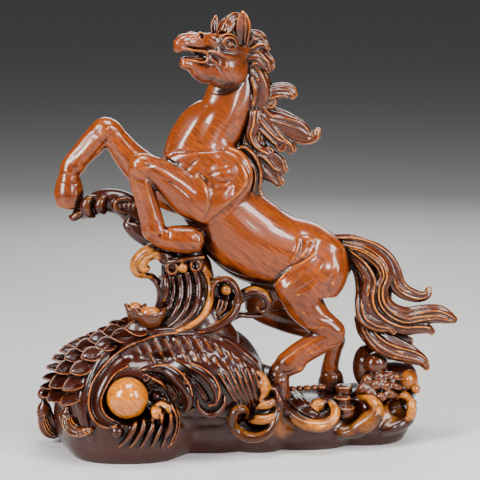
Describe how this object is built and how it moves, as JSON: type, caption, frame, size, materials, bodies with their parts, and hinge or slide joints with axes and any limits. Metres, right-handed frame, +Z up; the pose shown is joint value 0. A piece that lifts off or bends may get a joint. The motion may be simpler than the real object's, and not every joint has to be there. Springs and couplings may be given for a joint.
{
  "type": "horse statue",
  "caption": "Rearing horse on a scroll and wave base with a pearl, one varnished casting that stands on its flat underside.",
  "frame": {"origin": "middle of the bounding box on the plane of the underside", "axes": "+Z up from the underside; the horse's muzzle, chest and lifted forelegs point to -X; -Y is the side with the pearl and the strokes, which the picture shows"},
  "size_m": [0.3924, 0.1608, 0.4036],
  "materials": {
    "varnished_brown": "cast resin, wood-coloured with brushed grain, dark in the cuts and golden on the high points, under gloss varnish"
  },
  "bodies": {
    "root": {"horse_statue": "varnished_brown"}
  },
  "joints": []
}
